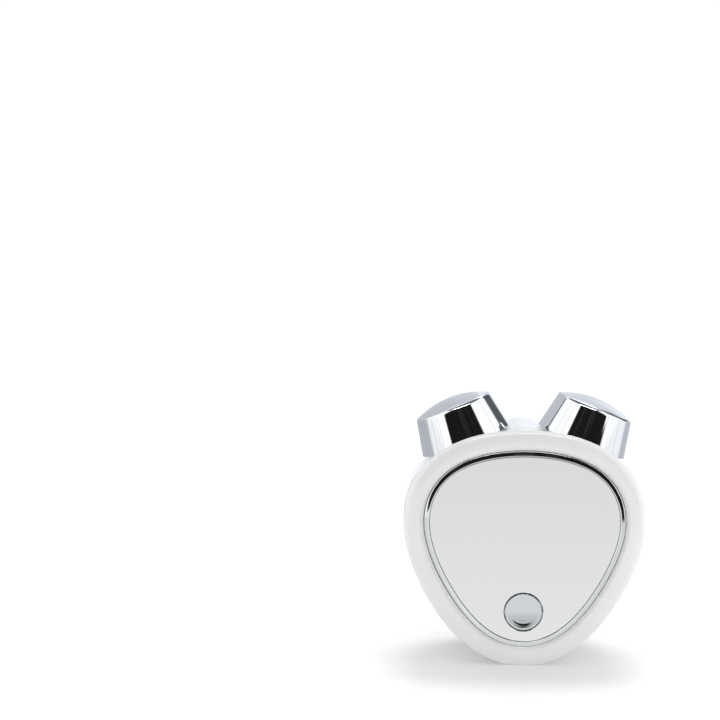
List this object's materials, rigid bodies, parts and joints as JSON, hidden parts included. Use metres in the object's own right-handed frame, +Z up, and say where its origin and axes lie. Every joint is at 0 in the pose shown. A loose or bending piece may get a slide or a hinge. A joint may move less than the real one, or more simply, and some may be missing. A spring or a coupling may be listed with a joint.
{
  "type": "facial toning device",
  "caption": "Handheld facial toning device that stands on a small foot: rounded casing, mirror face plate in a chrome ring, dished button, and turning chromed rollers on its shoulders.",
  "frame": {"origin": "under the middle of the object, on the surface that it stands on", "axes": "+Z up, the face plate looks towards -Y, +X to the right as seen from the front"},
  "size_m": [0.054, 0.033, 0.0602],
  "materials": {
    "white_shell": "glossy moulded plastic",
    "ring_chrome": "polished chrome plating on plastic",
    "plate_mirror": "silvered face plate",
    "button_chrome": "polished chrome plating",
    "roller_chrome": "polished chrome plating",
    "film": "double-sided adhesive film",
    "steel": "plain turned steel",
    "spring_steel": "blackened spring steel",
    "bush_brass": "turned brass",
    "inner_plastic": "moulded plastic",
    "board": "lacquered fibreglass board",
    "dark_plastic": "moulded plastic",
    "tin": "tinned sheet metal",
    "cell_foil": "foil pouch",
    "foam": "adhesive foam",
    "lead_red": "insulated lead",
    "lead_black": "insulated lead",
    "lead_white": "insulated lead"
  },
  "bodies": {
    "casing": {"front_shell": "white_shell", "rear_shell": "white_shell", "bezel_ring": "ring_chrome", "face_plate": "plate_mirror", "adhesive_film": "film", "switch_body": "tin", "circuit_board": "board", "board_screws": "steel", "case_screws": "steel", "charging_inlet": "tin", "inlet_tongue": "dark_plastic", "controller_chip": "dark_plastic", "charger_chip": "dark_plastic", "boost_inductor": "dark_plastic", "capacitors": "tin", "cell_connector": "inner_plastic", "battery_cell": "cell_foil", "cell_pad": "foam", "cell_lead_positive": "lead_red", "cell_lead_negative": "lead_black", "left_bush": "bush_brass", "left_housing": "inner_plastic", "left_housing_screws": "steel", "left_contact_spring": "bush_brass", "left_lead": "lead_white", "right_bush": "bush_brass", "right_housing": "inner_plastic", "right_housing_screws": "steel", "right_contact_spring": "bush_brass", "right_lead": "lead_white"},
    "button": {"power_button": "button_chrome"},
    "plunger": {"switch_plunger": "dark_plastic"},
    "roller_left": {"left_roller": "roller_chrome", "left_axle": "steel", "left_clip": "spring_steel"},
    "roller_right": {"right_roller": "roller_chrome", "right_axle": "steel", "right_clip": "spring_steel"}
  },
  "joints": [
    {"name": "left_roller_turn", "type": "hinge", "parent": "casing", "child": "roller_left", "pos_m": [-0.01295, -0.0029, 0.04898], "axis": [-0.3674, 0.061, 0.928], "continuous": true},
    {"name": "right_roller_turn", "type": "hinge", "parent": "casing", "child": "roller_right", "pos_m": [0.01295, -0.0029, 0.04898], "axis": [0.3674, 0.061, 0.928], "continuous": true},
    {"name": "button_press", "type": "slide", "parent": "casing", "child": "button", "axis": [0, 1, 0], "range_m": [0, 0.0003], "stiffness_N_per_m": 1500},
    {"name": "plunger_press", "type": "slide", "parent": "casing", "child": "plunger", "axis": [0, 1, 0], "range_m": [0, 0.0003]}
  ],
  "couplings": [
    {"joint": "plunger_press", "follows": "button_press", "ratio": 1}
  ]
}
